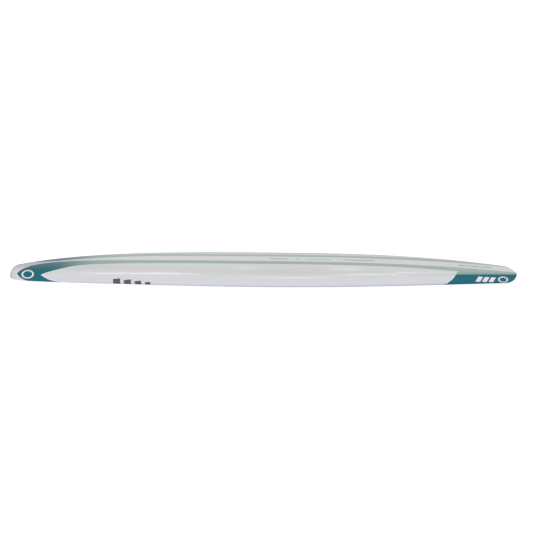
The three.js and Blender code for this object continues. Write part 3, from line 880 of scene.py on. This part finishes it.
def fin_box():
    """The fin box: made level, then laid onto the hull's own curve."""
    stretches = 30
    top = 0.012
    proud = 0.0001
    depth = FIN_BOX["depth"]
    piece = box_tool("fin_box_shell", 0, -depth / 2, FIN_BOX["length"], FIN_BOX["width"], depth, stretches)
    track_floor = FIN_TRACK["top"] + FIN_TRACK["height"]
    hollows = [
        ("slot", -top, FIN_SLOT["depth"], FIN_SLOT["length"], FIN_SLOT["width"]),
        ("track", FIN_TRACK["top"], track_floor, FIN_SLOT["length"], FIN_TRACK["width"]),
        ("notch", -top, track_floor, FIN_TRACK["notch"], FIN_TRACK["width"]),
    ]
    for name, mouth, bottom, length, width in hollows:
        cut(piece, box_tool(name, 0, -(mouth + bottom) / 2, length, width, bottom - mouth))
    bevel(piece, 0.0005, 2)
    x = to_x(FIN_BOX["at"])
    for vertex in piece.data.vertices:
        vertex.co.x += x
        vertex.co.z += float(hull_height(vertex.co.x + LENGTH / 2)) + proud
    return shade(piece)


def fin_box_hole():
    """The hole for the fin box, as a box through the hull laminate, sloped as the hull is there."""
    clearance = 0.0002
    height = 0.03
    reach = 0.1
    length = FIN_BOX["length"] + clearance
    hole = box_tool("fin_box_hole", 0, 0, length, FIN_BOX["width"] + clearance, height)
    rise = float(hull_height(FIN_BOX["at"] + reach) - hull_height(FIN_BOX["at"] - reach))
    turn = Matrix.Rotation(-math.atan2(rise, 2 * reach), 4, "Y")
    move = Matrix.Translation((to_x(FIN_BOX["at"]), 0, float(hull_height(FIN_BOX["at"]))))
    hole.data.transform(move @ turn)
    return hole


def handle_cup():
    face = face_at(HANDLE)
    lip = face + HANDLE["lip"]
    inside = HANDLE["width"] / 2
    wall = inside + HANDLE["wall"]
    top = face + HANDLE["depth"]
    inset = 0.012
    profile = [
        (wall - inset, top + HANDLE["wall"]), (wall, top + HANDLE["wall"]), (wall, lip),
        (HANDLE_RIM, lip), (HANDLE_RIM, face), (inside, face), (inside, top), (inside - inset, top),
    ]
    piece = stacked_rings("carry_handle_cup", HANDLE["at"], profile, HANDLE_STRAIGHT)
    return shade(bevel(piece, 0.0018))


def handle_grip():
    """A bar across the mouth, with shallow finger rests on the side that the fingers curl round."""
    face = face_at(HANDLE)
    length = HANDLE["length"] + 2 * GRIP["seat"]
    low = face + GRIP["sink"]
    stations = 97
    steps = 40
    power = 3.2
    fingers = 4
    finger_depth = 0.0016
    end_size = 0.9
    end_round = 0.002
    vertices = []
    for i in range(stations):
        share = i / (stations - 1)
        size = end_size + (1 - end_size) * float(rounded_end(min(share, 1 - share) * length, end_round))
        rest = finger_depth * (0.5 - 0.5 * math.cos(2 * math.pi * fingers * share)) if 0 < share < 1 else 0
        for k in range(steps):
            turn = 2 * math.pi * k / steps
            sine, cosine = math.sin(turn), math.cos(turn)
            spread = (abs(sine) ** power + abs(cosine) ** power) ** (1 / power)
            y = size * GRIP["width"] / 2 * cosine / spread
            z = size * GRIP["height"] / 2 * sine / spread
            if sine > 0:
                z -= rest * sine
            vertices.append((to_x(HANDLE["at"]) + (share - 0.5) * length, y, low + GRIP["height"] / 2 + z))
    piece = new_piece("carry_handle_grip", vertices, tube_faces(stations, steps))
    return shade(piece)


def leash_cup():
    face = face_at(LEASH)
    top = face + LEASH["depth"]
    lip = face + LEASH["lip"]
    floor = top - LEASH_FLOOR
    inner = 0.004
    profile = [
        (inner, top), (LEASH["body"], top), (LEASH["body"], lip), (LEASH["flange"], lip),
        (LEASH["flange"], face + GAP), (LEASH["hollow"], face + GAP), (LEASH["hollow"], floor),
        (inner, floor),
    ]
    piece = stacked_rings("leash_cup_shell", LEASH["at"], profile)
    return shade(bevel(piece, 0.0009))


def leash_pin():
    length = 2 * (LEASH["hollow"] + LEASH_PIN["seat"])
    height = face_at(LEASH) + LEASH_PIN["depth"]
    rings = 9
    steps = 32
    vertices = []
    for share in np.linspace(-0.5, 0.5, rings):
        for k in range(steps):
            turn = 2 * math.pi * k / steps
            x = to_x(LEASH["at"]) + LEASH_PIN["radius"] * math.cos(turn)
            vertices.append((x, share * length, height + LEASH_PIN["radius"] * math.sin(turn)))
    piece = new_piece("leash_cross_pin", vertices, tube_faces(rings, steps))
    return shade(bevel(piece, 0.0004, 2))


def vent_body():
    face = face_at(VENT)
    top = face + VENT["depth"]
    seat = face + VENT_SEAT["depth"]
    lip = face + VENT["lip"]
    profile = [
        (VENT["bore"], top), (VENT["body"], top), (VENT["body"], lip), (VENT["flange"], lip),
        (VENT["flange"], face), (VENT_SEAT["radius"], face), (VENT_SEAT["radius"], seat),
        (VENT["bore"], seat),
    ]
    piece = stacked_rings("vent_body", VENT["at"], profile, closed=True)
    return shade(bevel(piece, 0.0006))


def vent_screw():
    low = face_at(VENT) + SCREW["sink"]
    neck = low + SCREW["head_height"]
    pitch = 0.0015
    crest = SCREW["shank"]
    root = crest - 0.0005
    inner = 0.003
    profile = [(inner, low), (SCREW["head"], low), (SCREW["head"], neck), (crest, neck)]
    height = neck + pitch
    while height < neck + SCREW["shank_length"] - pitch:
        profile.append((crest, height))
        profile.append((root, height + pitch / 2))
        height += pitch
    tip = neck + SCREW["shank_length"]
    profile += [(crest, height), (root, tip), (0.002, tip)]
    piece = stacked_rings("vent_cap_screw", VENT["at"], profile)
    slot_size = (1.6 * SCREW["head"], SCREW_SLOT["width"], 2 * SCREW_SLOT["depth"])
    cut(piece, box_tool("slot", to_x(VENT["at"]), low, *slot_size))
    return shade(bevel(piece, 0.0003, 2, 60))


def seal_ring():
    height = face_at(VENT) + SCREW["sink"] + SCREW["head_height"] + GAP + O_RING["radius"]
    steps = 20
    profile = []
    for turn in 2 * math.pi * np.arange(steps) / steps:
        radius = O_RING["pitch"] + O_RING["radius"] * math.cos(turn)
        profile.append((radius, height + O_RING["radius"] * math.sin(turn)))
    piece = stacked_rings("vent_seal_ring", VENT["at"], profile, closed=True)
    return shade(piece, 60)


# ---- deck pads ----
def groove_places(start, end, spacing):
    """Places across a stretch, with the shape of each groove sampled, and the groove depth at each."""
    count = max(int(round((end - start) / spacing)), 1)
    half = GROOVE["width"] / 2
    rim = np.array([0, 0.0006, 0.0014, PAD["edge_round"]])
    centres = start + (end - start) * np.arange(1, count) / count
    grooves = centres[:, None] + half * np.array([-1, -0.6, 0, 0.6, 1])
    places = np.concatenate([start + rim, grooves.ravel(), (end - rim)[::-1]])
    nearest = np.min(np.abs(places[:, None] - centres[None, :]), axis=1)
    return places, GROOVE["depth"] * share_of(1.6 * (1 - nearest / half))


def deck_pad(name):
    """A grooved pad on the deck, with rounded edges and corners."""
    start, end = PAD_SPANS[name]
    front_corner = PAD["corner"] if name == "pad_front" else 1e-6
    rear_corner = PAD["corner"] if name == "pad_rear" else 1e-6
    along, cross_grooves = groove_places(start, end, GROOVE["spacing"])
    across = LONG_GROOVE["half"]
    share, long_grooves = groove_places(-across, across, LONG_GROOVE["spacing"])
    share = share / across
    corners = front_corner * (1 - rounded_end(along - start, front_corner))
    corners = corners + rear_corner * (1 - rounded_end(end - along, rear_corner))
    reach = half_width(along) - PAD["margin"] - corners
    y = reach[:, None] * share[None, :]
    along = along[:, None] + 0 * y
    seat = deck_height(along, y) - GAP
    from_edge = np.minimum.reduce([along - start, end - along, (1 - np.abs(share)) * reach[:, None]])
    rounding = PAD["edge_round"] * (1 - rounded_end(from_edge, PAD["edge_round"]))
    groove = np.maximum(cross_grooves[:, None], long_grooves[None, :])
    face = seat - PAD["thickness"] + np.minimum(rounding + groove, PAD["thickness"] - 0.001)
    rows, columns = y.shape
    x = to_x(along)
    vertices = np.concatenate([np.stack([x, y, z], -1).reshape(-1, 3) for z in (seat, face)])
    count = rows * columns
    faces = sheet_faces(rows, columns)
    for j in range(columns - 1):
        for i in (0, rows - 1):
            a = i * columns + j
            faces.append((a, a + 1, a + 1 + count, a + count))
    piece = new_piece(name, vertices, faces)
    if name == "pad_middle":
        round_handle = 0.004
        cut_opening(piece, HANDLE["at"], HANDLE_RIM + round_handle, HANDLE_STRAIGHT)
    return shade(piece, 45)


# ---- the whole board ----
def build_laminate():
    paint = painted_laminate()
    hull = laminate_half("hull_laminate", True)
    cut(hull, fin_box_hole())
    deck = laminate_half("deck_laminate", False)
    clear = OPENING["clear"]
    cut_opening(deck, HANDLE["at"], HANDLE_RIM + clear, HANDLE_STRAIGHT)
    cut_opening(deck, LEASH["at"], LEASH["flange"] + clear, top=0.02)
    cut_opening(deck, VENT["at"], VENT["flange"] + clear)
    for piece, node in ((hull, "hull_skin"), (deck, "deck_skin")):
        add_paint_fields(piece)
        shade(piece, 34)
        place_piece(piece, paint, "gloss_skin", "board", node)


def build_fittings():
    black = moulded_plastic("black_moulding", BLACK_MOULDING_TONES, 0.42)
    white = moulded_plastic("white_moulding", WHITE_MOULDING_TONES, 0.36)
    # the fin box's plastic, with painted shade in its slot
    slotted = moulded_plastic("fin_box_plastic", FIN_BOX_TONES, 0.40, fin_slot_shade_mask)
    rubber = grip_rubber()
    place_piece(fin_box(), slotted, "white_plastic", "board", "fin_box")
    place_piece(handle_cup(), black, "black_plastic", "board", "handle_cup")
    place_piece(handle_grip(), rubber, "grip_rubber", "board", "handle_grip")
    place_piece(leash_cup(), black, "black_plastic", "board", "leash_plug_cup")
    place_piece(leash_pin(), drawn_steel(), "steel_pin", "board", "leash_plug_pin")
    place_piece(vent_body(), white, "white_plastic", "board", "vent_housing")
    place_piece(seal_ring(), seal_rubber(), "seal_rubber", "vent_seal", "vent_o_ring")
    place_piece(vent_screw(), turned_brass(), "brass_screw", "vent_plug", "vent_screw")


def build_pads():
    foam = eva_foam()
    for name in PAD_SPANS:
        piece = deck_pad(name)
        place_piece(piece, foam, "eva_pad", "board", "deck_" + name)


def dress_inner_nodes():
    beads = bead_foam()
    dense = dense_foam()
    looks = {
        "core_port": beads, "core_starboard": beads, "stringer": stringer_wood(), "stance_panel": dense,
        "fin_box_block": dense, "handle_block": dense, "leash_plug_block": dense, "vent_block": dense,
    }
    for node, material in looks.items():
        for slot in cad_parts[node].material_slots:
            slot.material = material


# ---- floor, light and camera ----
def build_floor():
    corners = [(x * FLOOR_REACH, y * FLOOR_REACH, 0) for x, y in ((-1, -1), (1, -1), (1, 1), (-1, 1))]
    floor = new_piece("floor", corners, [(0, 1, 2, 3)])
    floor.location.z = -FLOOR_DROP
    shader = Shader("pale_floor")
    path = shader.add("LightPath")
    unseen = shader.ramp(path.outputs["Is Glossy Ray"], 0, 1, FLOOR_GLOW["as_light"], FLOOR_GLOW["in_gloss"])
    shader.set(
        shader.surface, Base_Color=shader.mix(shader.noise(3.0), *FLOOR_TONES), Roughness=0.9,
        Specular_IOR_Level=0.0, Emission_Color=FLOOR_TINT,
        Emission_Strength=shader.ramp(path.outputs["Is Camera Ray"], 0, 1, unseen, SEEN_GLOW),
    )
    floor.data.materials.append(shader.material)


def add_lamp(name, place, aim, size, glow):
    """A rectangular lamp that the camera doesn't see, as bright as the glow says."""
    light = bpy.data.lights.new(name, "AREA")
    light.shape = "RECTANGLE"
    light.size, light.size_y = size
    light.energy = glow * math.pi * light.size * light.size_y
    lamp = new_object(name, light)
    lamp.location = place
    lamp.rotation_euler = (Vector(place) - Vector(aim)).to_track_quat("Z", "Y").to_euler()
    lamp.visible_camera = False
    return lamp


def build_world():
    """A plain white room. What the gloss coat mirrors of it is darker than what lights the paint."""
    world = bpy.data.worlds.new("studio")
    bpy.context.scene.world = world
    world.use_nodes = True
    tree = NodeTree(world.node_tree)
    tree.nodes.remove(tree.nodes["Background"])
    x, y, z = tree.axes(tree.add("TexCoord").outputs["Generated"])
    path = tree.add("LightPath")

    def background(strength):
        node = tree.add("Background")
        tree.put_all(node.inputs, ((1, 1, 1, 1), strength))
        return node.outputs[0]

    def room(light):
        back = tree.ramp(x, *ROOM_TURNS["nose"], light["nose"], light["back"])
        walls = tree.ramp(y, *ROOM_TURNS["front"], light["front"], back)
        return background(tree.ramp(z, light["low"], light["high"], walls, light["overhead"]))

    def choose(ray, otherwise, then):
        mix = tree.add("MixShader")
        tree.put_all(mix.inputs, (path.outputs[ray], otherwise, then))
        return mix.outputs[0]

    lighting = choose("Is Glossy Ray", room(ROOM_LIGHT), room(ROOM_GLOSS))
    seen = choose("Is Camera Ray", lighting, background(SEEN_GLOW))
    tree.put(tree.nodes["World Output"].inputs["Surface"], seen)


def build_lights():
    build_world()
    for name, lamp in LAMPS.items():
        add_lamp(name, **lamp)
    add_lamp("nose_fill", **NOSE_FILL).visible_glossy = False


def build_camera():
    elevation = math.radians(CAMERA["elevation"])
    distance = CAMERA["distance"]
    data = bpy.data.cameras.new("camera")
    camera = new_object("camera", data)
    place = (0, -distance * math.cos(elevation), AIM_HEIGHT + distance * math.sin(elevation))
    tilt = Matrix.Rotation(math.pi / 2 - elevation, 4, "X")
    roll = Matrix.Rotation(math.radians(CAMERA["roll"]), 4, "Z")
    camera.matrix_world = Matrix.Translation(place) @ tilt @ roll
    data.sensor_width = 36
    data.lens = CAMERA["focal"]
    data.shift_x = CAMERA["shift_x"]
    data.shift_y = CAMERA["shift_y"]
    bpy.context.scene.camera = camera
    bpy.context.scene.view_settings.view_transform = "Standard"


build_camera()
build_laminate()
build_fittings()
build_pads()
dress_inner_nodes()
build_floor()
build_lights()
